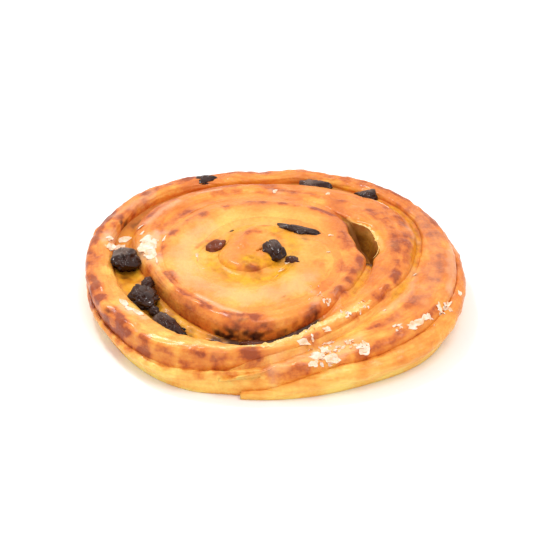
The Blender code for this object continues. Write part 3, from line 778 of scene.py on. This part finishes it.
def fill_face(turned, start, end, lap, levels):
    """The cut face of a fill, every point of which is baked like the ridges beside it."""
    ends = min((turned - start) / FILL_RUN_OUT, (end - turned) / FILL_RUN_OUT, 1.0)
    wall_height = eased(SEAM_HEIGHT, turned)
    half = max(seam_half_width(turned, 1.0), NARROWEST_FILL) + lap
    level = eased(levels, turned)
    face = []
    for step in range(CUSTARD_TOP_POINTS):
        part = step / (CUSTARD_TOP_POINTS - 1)
        crest = eased(CREST_HEIGHT, turned if part < 0.5 else turned + 360)
        filled = level + (FILL_EDGE - level) * (part * 2 - 1) ** 2
        reach = seam_reach(turned) + half * (1 - 2 * part)
        height = wall_height + (crest - wall_height) * filled
        height += lump(turned, reach, height) * filled * min((crest - wall_height) / LUMPY_ARCH, 1)
        face.append((reach, height - (1 - ends) ** 2 * RUN_OUT_DROP, ON_THE_RIDGE))
    for side in (-half, half):
        face.append((seam_reach(turned) + side, wall_height - FILL_THICKNESS, ON_THE_RIDGE))
    return face


for name, start, end, lap, levels in FILLS:
    fill = Strip(lambda turned: fill_face(turned, start, end, lap, levels), places_along(start, end))
    fill.z = fill.z + cloudy(fill, 3.2, 11.0) * 0.3 * straight(((700, 1.0), (1000, 0.45)), fill.turned)
    fill.z = fill.z + blistered(fill)
    fill_piece = fill.piece(name)
    keep_looks(fill_piece, fill, np.ones(fill.x.shape))
    fill_piece.data.materials.append(crust.material)
    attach(fill_piece, "root")

# The raisins. Dried grapes, soaked and scattered over the custard before rolling, so they sit in the
# seams. The oven dries their skins into sharp folds, and the glaze makes them shine or veils them grey.

RAISINS = (  # name, direction, reach, height, length, width, thickness, heading, slope, redness, veil
    ("left_back", 176, 37.6, 11.6, 10.6, 9.2, 7, 100, 0, 0.1, 0.8),
    ("left_front", 207, 35.4, 11.2, 10.2, 8.4, 6.8, 140, 8, 0.1, 0.1),
    ("groove", 229, 36.6, 10.4, 12.8, 5.6, 5.8, 134, -6, 0.15, 0.25),
    ("front", 268, 35.4, 8.5, 10.6, 5.2, 5, 8, 0, 0.5, 0),
    ("middle", -2, 4.4, 15.9, 8.2, 6.8, 6.4, 108, 0, 0.1, 0.2),
    ("middle_small", -16, 10, 14.8, 5, 3.2, 3.2, -38, 0, 0.3, 0.1),
    ("inner_right", 47, 17, 14.5, 12.4, 5.4, 4.8, -20, 0, 0.1, 0.2),
    ("inner_left", 159, 12.6, 14.3, 6.8, 5, 4.6, 40, 0, 1, 0),
    ("back_left", 110, 47.2, 12.4, 9, 5, 4.6, 14, 0, 0.1, 0.1),
    ("back", 68, 44, 12.4, 10.4, 6, 5.4, -14, 0, 0.1, 0.4),
    ("back_right", 48, 47.8, 12.2, 8.8, 6.4, 5.6, -34, 0, 0.1, 0.5),
)
RAISIN_SIDES = 88
RAISIN_RINGS = 56


def raisin_skin(number, length, width, thickness, red):
    """Points and faces of a raisin round its own middle, long in X: a ball with flats and folds."""
    chance = random.Random(number * 17 + 3)
    flats = [(Vector((chance.uniform(-1, 1), chance.uniform(-1, 1), chance.uniform(-1, 1))).normalized(),
              chance.uniform(0.3, 0.42)) for _ in range(5)]
    flats.append((Vector((chance.uniform(-0.3, 0.3), chance.uniform(-0.3, 0.3), 1)).normalized(), 0.36))
    points, creases = [], []
    for ring in range(RAISIN_RINGS + 1):
        sweep = math.pi * ring / RAISIN_RINGS
        girth = math.sin(sweep)
        for side in range(RAISIN_SIDES):
            turn = 2 * math.pi * side / RAISIN_SIDES
            spot = Vector((-math.cos(sweep), girth * math.cos(turn), girth * math.sin(turn))) / 2
            spot *= 1 + 0.46 * noise.noise(spot * 3.2 + Vector((0, 0, 7.0 * number)))
            for way, far in flats:
                over = spot.dot(way) - far
                if over > 0:
                    spot -= way * over * (0.8 - 0.5 * red)
            wander = noise.noise(spot * 4 + Vector((0, 0, 3.1 * number)))
            folding = Vector((spot.x * 1.8 + wander, spot.y * 4, spot.z * 4 + 9.0 * number))
            fold = min(abs(noise.noise(folding)) / 0.32, 1)
            fine = min(abs(noise.noise(folding * 2.3)) / 0.3, 1)
            depth = 0.3 * (1 - fold) ** 2 + 0.02 * (1 - fine) ** 2
            depth *= (1 - 0.8 * red) * girth
            spot *= 1 - depth
            points.append((spot.x * length, spot.y * width, spot.z * thickness))
            creases.append(depth)
    return points, ring_faces(RAISIN_RINGS + 1, RAISIN_SIDES), creases


skin = Finish("raisin_skin")
skin_specks = skin.mottle(1.2, 4.0)
skin_colour = skin.ramp(skin_specks, (
    (0.3, (0.004, 0.0015, 0.001)), (0.6, (0.012, 0.004, 0.002)), (0.8, (0.05, 0.014, 0.006)),
))
skin_colour = skin.mixed(skin.marked("redness"), skin_colour, (0.34, 0.072, 0.024))
skin_colour = skin.mixed(skin.marked("veil"), skin_colour, (0.34, 0.24, 0.19))
skin.shade(
    Base_Color=skin_colour, Roughness=skin.times(skin_specks, 0.4, 0.1), Coat_Weight=0.4,
    Coat_Roughness=0.04, Specular_IOR_Level=0.1,
)
skin.bumpy(skin.mottle(1.6, 1.0), 0.06)

SCRAPS = (  # bits torn off raisins, which lie on the custard and the crust beside them
    ("scrap_left", 199, 32.4, 11.9, 5.6, 3.4, 3.4, 65, 0, 0.15, 0.1),
    ("scrap_left_low", 203, 33, 11, 4, 3, 2.6, 120, 0, 0.3, 0),
    ("scrap_left_top", 196, 31.8, 12.2, 2.6, 1.8, 1.8, 20, 0, 0.4, 0.1),
    ("scrap_groove", 237, 37.2, 9.9, 3.4, 2, 1.8, 150, 0, 0, 0),
    ("scrap_beside", 218, 35.4, 11, 5, 3, 3, 130, 0, 0.1, 0.1),
    ("scrap_front_left", 235, 34.6, 9.5, 2.2, 0.8, 0.8, -25, 0, 0, 0),
    ("scrap_front", 262, 36.4, 9.2, 2.6, 1.6, 1.4, 10, 0, 0, 0.2),
    ("scrap_back_left", 123, 13.9, 15.2, 1.6, 0.9, 0.8, 20, 0, 0, 0),
)
for number, row in enumerate(RAISINS + SCRAPS):
    name, direction, reach, height, length, width, thickness, heading, slope, red, grey = row
    node = "raisin_" + name
    points, faces, creases = raisin_skin(number, length, width, thickness, red)
    turn = Matrix.Rotation(math.radians(heading), 4, "Z") @ Matrix.Rotation(math.radians(slope), 4, "Y")
    x, y = at(direction, reach)
    laid = Matrix.Translation(Vector((MIDDLE_X + x, MIDDLE_Y + y, height))) @ turn
    spots = [laid @ Vector(point) for point in points]
    raisin = new_piece(node + "_skin", [spot * MM for spot in spots], faces)
    mark(raisin, "redness", [red * (0.5 + 2 * min(crease, 0.25)) for crease in creases])
    veils = []
    for spot in spots:
        above = (spot.z - height) / thickness * 2
        back = (spot.y - MIDDLE_Y - y) / width
        veils.append(grey * min(max(above * 0.6 + back * 2.0 + noise.noise(spot / 3.0) - 0.1, 0), 1))
    mark(raisin, "veil", veils)
    raisin.data.materials.append(skin.material)
    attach(raisin, "root")
    if number < len(RAISINS):
        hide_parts(node)

# The dried glaze and the torn edges. Where sugar glaze lay thick it has set white and cracked into thin
# plates and flakes, which lie on the crust. The dough's skin has torn and curled up in the oven along the
# front groove and round the open hollow, and its edge has stayed pale and ragged.

corners, sides = [], []
for piece in (dough_piece, custard_piece):
    first = len(corners)
    corners += [vert.co.copy() for vert in piece.data.vertices]
    sides += [[first + index for index in face.vertices] for face in piece.data.polygons]
ground = BVHTree.FromPolygons(corners, sides)
ABOVE_ALL = 40.0


def surface_height(x, y):
    """The height of the crust at a place measured from the middle, in millimetres."""
    start = Vector((x + MIDDLE_X, y + MIDDLE_Y, ABOVE_ALL)) * MM
    spot, _, _, _ = ground.ray_cast(start, Vector((0, 0, -1)))
    return spot.z / MM if spot else 0.0


PLATE_RINGS = 3
PLATE_SIDES = 14
FLAT_LIFT = 0.3
TILTED_LIFT = 0.7


def thin_skin(points, faces, thickness):
    """The upper side of a thin skin, closed with an underside and with edges all round."""
    below = len(points)
    edges = {edge: None for face in faces for edge in zip(face, face[1:] + face[:1])}
    under = [tuple(below + corner for corner in face[::-1]) for face in faces]
    rim = [(start, below + start, below + end, end) for start, end in edges if (end, start) not in edges]
    return points + [(x, y, z - thickness) for x, y, z in points], faces + under + rim


def jag(around, often, seed):
    """How uneven a flake's outline is at an angle round its middle."""
    return noise.noise(Vector((math.cos(around) * often, math.sin(around) * often, seed)))


def plate(number, x, y, length, width, heading, thickness, lift):
    """One flake: an uneven thin plate that follows the crust under it, lifted along one edge."""
    tops = [(x, y)]
    lifts = [lift * FLAT_LIFT]
    spin = math.radians(heading)
    jagged = 0.9 if length < 3.2 else 0.5
    notched = 0.5 if length < 2.6 else 0.25
    for ring in range(1, PLATE_RINGS + 1):
        for side in range(PLATE_SIDES):
            around = 2 * math.pi * side / PLATE_SIDES
            far = ring / PLATE_RINGS * (1 + jagged * jag(around, 1.3, number * 3.7))
            if ring == PLATE_RINGS:
                far *= 1 + notched * jag(around, 4.0, number * 5.1)
            ahead, aside = math.cos(around) * length / 2 * far, math.sin(around) * width / 2 * far
            tops.append((x + ahead * math.cos(spin) - aside * math.sin(spin),
                         y + ahead * math.sin(spin) + aside * math.cos(spin)))
            lifts.append(lift * (FLAT_LIFT + TILTED_LIFT * ring / PLATE_RINGS * math.cos(around - number)))
    middle = surface_height(x, y)
    heights = [min(max(surface_height(*spot), middle - 0.3), middle + 0.6) for spot in tops]
    upper = [height + thickness * 0.7 + max(raised, 0) for height, raised in zip(heights, lifts)]
    faces = []
    for side in range(PLATE_SIDES):
        after = (side + 1) % PLATE_SIDES
        faces.append((0, 1 + side, 1 + after))
        for inner in range(1, 1 + (PLATE_RINGS - 1) * PLATE_SIDES, PLATE_SIDES):
            outer = inner + PLATE_SIDES
            faces.append((inner + side, outer + side, outer + after, inner + after))
    return thin_skin([(px, py, height) for (px, py), height in zip(tops, upper)], faces, thickness)


PLATES = (  # direction, reach, length, width, heading
    (168, 29.6, 5.6, 2.6, 80), (178, 31, 3, 2.2, 30), (163, 28, 2.6, 0.9, 80), (-174, 28.4, 3.4, 0.8, 100),
    (165, 44.2, 2.6, 1.4, 80), (156, 37.4, 2.2, 1, 40), (161, 35.2, 1.8, 0.8, 50),
    (-152, 41.2, 3.6, 1.8, -52), (-143, 40.4, 4, 1.6, -40), (-147, 41.6, 2.4, 1.2, -45),
    (-20, 9.4, 2.6, 1.4, 35), (-48, 9.6, 3.4, 1.2, 35), (-66, 11.4, 2.6, 0.9, 25), (180, 17, 1.6, 0.9, 80),
    (-172, 16.6, 1.8, 0.7, 100), (-160, 16, 1.4, 0.8, 120), (-65, 47, 4.4, 3.6, 20),
    (-54, 48.8, 3.6, 3.2, 70), (-58, 39.4, 4.6, 2.2, 160), (-69, 44.5, 4.2, 2.6, 10),
    (-72, 40.4, 2.8, 1.6, 0), (-65, 42.9, 2.6, 2.2, 40), (-71, 46.8, 2.6, 1.6, 30),
    (-61, 38.9, 2.8, 1.4, 20), (-20, 55.4, 4.2, 1.4, 60), (-23, 54.2, 3.4, 1.2, 100),
    (-33, 52.2, 3.4, 1.8, 30), (-36, 51.8, 3, 1.8, 20), (-30, 52.8, 2.6, 1.6, 50), (166, 33, 4.4, 3.2, 60),
    (172, 32, 7, 4.2, 90), (179, 30.2, 5, 3.6, 100), (165, 41.6, 6, 3, 62), (157, 42.2, 4.4, 2.2, 40),
    (170, 42.6, 3.6, 2, 80), (-4, 43.6, 1.6, 1, 20), (-8, 44.4, 1.2, 0.8, 60), (-12, 57.4, 1.6, 1.1, 90),
    (-34, 41.8, 0.9, 0.6, 0), (58, 38.8, 1.2, 0.9, 0), (82, 35, 1.8, 1.2, 60), (24, 22.9, 1.2, 0.8, 0),
    (2, 19.9, 1, 0.7, 40),
)
SPRAYS = (  # direction, reach, spread, how many, length
    (-70, 41.4, 2.8, 8, 1.2), (-65, 44.4, 2.8, 8, 1.3), (-62, 41.2, 2.4, 7, 1.2), (-68, 46.6, 2.2, 5, 1.2),
    (-66, 46.6, 1.4, 2, 1.8), (-54, 47.6, 1.4, 6, 2.2), (-56, 44.6, 1.4, 6, 1.4), (-60, 44.6, 1.6, 5, 1.2),
    (-39, 49.6, 1.6, 5, 1.2), (-35, 51.8, 1.6, 4, 1.2), (-29, 54, 1.4, 5, 1.1), (-24, 54.2, 1.4, 4, 1.2),
    (-20, 55.8, 1.6, 4, 1.4), (-49, 36.4, 2.2, 10, 1), (-40, 37.2, 2.2, 10, 0.9), (-52, 25.6, 3, 22, 0.5),
    (-50, 29.4, 1.4, 8, 0.9), (-66, 36.6, 1, 5, 1.2),
)
PLATE_THICKNESS = 0.18
PLATE_LIFT = 0.25
FIRST_CRUMB = 100
draws = random.Random(7)
flake_points, flake_faces = [], []


def lay(*flake):
    """Adds a flake to all the others."""
    points, faces = plate(*flake)
    first = len(flake_points)
    flake_points.extend(points)
    flake_faces.extend([first + index for index in face] for face in faces)


for number, (direction, reach, length, width, heading) in enumerate(PLATES):
    lay(number, *at(direction, reach), length, width, heading, PLATE_THICKNESS, PLATE_LIFT)
for group, (direction, reach, spread, count, length) in enumerate(SPRAYS):
    for turn in range(count):
        x, y = at(direction, reach)
        x += draws.gauss(0, spread / 2)
        y += draws.gauss(0, spread / 2)
        size = length * draws.uniform(0.4, 1.2)
        lay(FIRST_CRUMB + group * 40 + turn, x, y, size, size * draws.uniform(0.4, 0.8),
            draws.uniform(0, 180), draws.uniform(0.12, 0.22), draws.uniform(0.1, 0.6))

LIP = (
    (-114, 42.6), (-104, 42.6), (-96, 41.6), (-87, 40.4), (-79, 38.8), (-72, 37.4), (-65, 36.3),
    (-57, 36.1), (-48, 36.2), (-40, 36.8), (-33, 37.6),
)
RIM_TURNED = 720
POCKET_RIM = [
    (direction, seam_reach(RIM_TURNED + direction) + eased(SEAM_WIDTH, RIM_TURNED + direction) / 2)
    for direction in range(0, 40, 4)
]
LIP_ROWS = 6
LIP_STRIDE = 0.35
LIP_TAPER = 12
LIP_THICKNESS = 0.14
LOW_START = 0.34


def along_path(path, stride):
    """Places along a path of (direction, reach), a stride in millimetres apart."""
    corners = [at(*place) for place in path]
    spots = []
    for index in range(len(corners) - 1):
        near = [corners[min(max(index + step, 0), len(corners) - 1)] for step in (-1, 0, 1, 2)]
        length = math.hypot(near[2][0] - near[1][0], near[2][1] - near[1][1])
        steps = max(int(length / stride), 1)
        for step in range(steps):
            part = step / steps
            spots.append(tuple(curved(*[spot[axis] for spot in near], part) for axis in (0, 1)))
    spots.append(corners[-1])
    return spots


def torn_edge(path, width, rise, seed):
    """A ragged skin along a path: it lies on the crust outside it and stands up along its inner edge."""
    def unevenness(along, row):
        return noise.noise(Vector((along, seed, row)))

    spots = along_path(path, LIP_STRIDE)
    points = []
    for index, (x, y) in enumerate(spots):
        strong = min(min(index, len(spots) - 1 - index) / LIP_TAPER, 1.0)
        strong *= 0.35 if index < len(spots) * LOW_START else 1.0
        away = math.hypot(x, y)
        out_x, out_y = x / away, y / away
        crest = surface_height(x + out_x, y + out_y)
        tooth = unevenness(index * 0.22, 0.0) + 0.6 * unevenness(index * 0.7, 4.0)
        fray = unevenness(index * 0.16, 9.0) + 0.5 * unevenness(index * 0.6, 13.0)
        for row in range(LIP_ROWS + 1):
            part = row / LIP_ROWS
            shift = -0.2 + (-0.5 * max(tooth, -0.3) + part * width * (1 + 0.9 * fray)) * strong
            px, py = x + out_x * shift, y + out_y * shift
            stand = rise * (1 + 1.6 * tooth) * (1 - part) ** 2 * strong
            lying = min(max(surface_height(px, py), crest - 0.5), crest + 0.6)
            points.append((px, py, lying + 0.02 + 0.1 * strong * (1 - part) + max(stand, 0.0)))
    faces = []
    for index in range(len(spots) - 1):
        for row in range(LIP_ROWS):
            here, there = index * (LIP_ROWS + 1) + row, (index + 1) * (LIP_ROWS + 1) + row
            faces.append((here, here + 1, there + 1, there))
    return thin_skin(points, faces, LIP_THICKNESS)


def set_piece(name, points, faces, finish, smooth_faces):
    spots = [((x + MIDDLE_X) * MM, (y + MIDDLE_Y) * MM, z * MM) for x, y, z in points]
    shown = new_piece(name, spots, faces, smooth_faces)
    shown.data.materials.append(finish.material)
    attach(shown, "root")


sugar = Finish("dried_glaze")
sugar_colour = sugar.ramp(sugar.mottle(1.6), (
    (0.3, (0.87, 0.46, 0.22)), (0.5, (0.91, 0.64, 0.46)), (0.7, (0.93, 0.78, 0.66)),
))
sugar.shade(Base_Color=sugar_colour, Roughness=0.4, Subsurface_Weight=0.2, Subsurface_Scale=0.001)
sugar.bumpy(sugar.mottle(0.5), 0.05)
set_piece("glaze_flakes", flake_points, flake_faces, sugar, False)

shred = Finish("torn_dough")
shred_colour = shred.ramp(shred.mottle(1.2, 4.0), (
    (0.3, (0.86, 0.42, 0.08)), (0.5, (0.9, 0.54, 0.16)), (0.7, (0.93, 0.68, 0.34)),
))
shred.shade(Base_Color=shred_colour, Roughness=0.5, Subsurface_Weight=0.2, Subsurface_Scale=0.001)
shred.bumpy(shred.mottle(0.6), 0.06)
set_piece("torn_lip", *torn_edge(LIP, 1.3, 0.3, 2.0), shred, True)
set_piece("torn_rim", *torn_edge(POCKET_RIM, 0.8, 0.1, 6.0), shred, True)

# The studio. A white table that runs out of sight, a white sky, a wide soft lamp high on the right and a
# small one at the back on the left, for the highlights. The camera looks down at the front of the swirl,
# where the loose end of the dough is.

FLOOR_SIZE = 6.0
edge = FLOOR_SIZE / 2
floor_corners = [(-edge, -edge, 0), (edge, -edge, 0), (edge, edge, 0), (-edge, edge, 0)]
floor = new_piece("floor", floor_corners, [(0, 1, 2, 3)], False)
table_top = Finish("white_table")
table_top.shade(Base_Color=(0.93, 0.93, 0.93, 1.0), Roughness=0.6, Specular_IOR_Level=0.2)
floor.data.materials.append(table_top.material)

sky = bpy.data.worlds.new("white_sky")
bpy.context.scene.world = sky
sky.use_nodes = True
background = sky.node_tree.nodes["Background"]
background.inputs["Color"].default_value = (1.0, 1.0, 1.0, 1.0)
background.inputs["Strength"].default_value = 0.92


def lamp(name, place, size, watts):
    """A square lamp, its side in metres, that points at the middle of the table."""
    light = bpy.data.lights.new(name, "AREA")
    light.size = size
    light.energy = watts
    shone = bpy.data.objects.new(name, light)
    bpy.context.scene.collection.objects.link(shone)
    shone.location = place
    shone.rotation_euler = (-Vector(place)).to_track_quat("-Z", "Y").to_euler()


lamp("soft_box", (0.2, -0.2, 0.85), 0.4, 2.5)
lamp("small_lamp", (-0.22, 0.3, 0.6), 0.1, 1.5)

CAMERA_DISTANCE = 0.5
CAMERA_HEIGHT = math.radians(34.0)
AIM = Vector((1.546, 5.131, 1.44)) * MM
LENS = 111.04
FILM_WIDTH = 36.0
viewer = bpy.data.cameras.new("camera")
viewer.lens = LENS
viewer.sensor_width = FILM_WIDTH
camera = bpy.data.objects.new("camera", viewer)
bpy.context.scene.collection.objects.link(camera)
back = Vector((0, -math.cos(CAMERA_HEIGHT), math.sin(CAMERA_HEIGHT)))
camera.location = AIM + back * CAMERA_DISTANCE
camera.rotation_euler = (math.pi / 2 - CAMERA_HEIGHT, 0, 0)
bpy.context.scene.camera = camera
bpy.context.scene.view_settings.view_transform = "Standard"
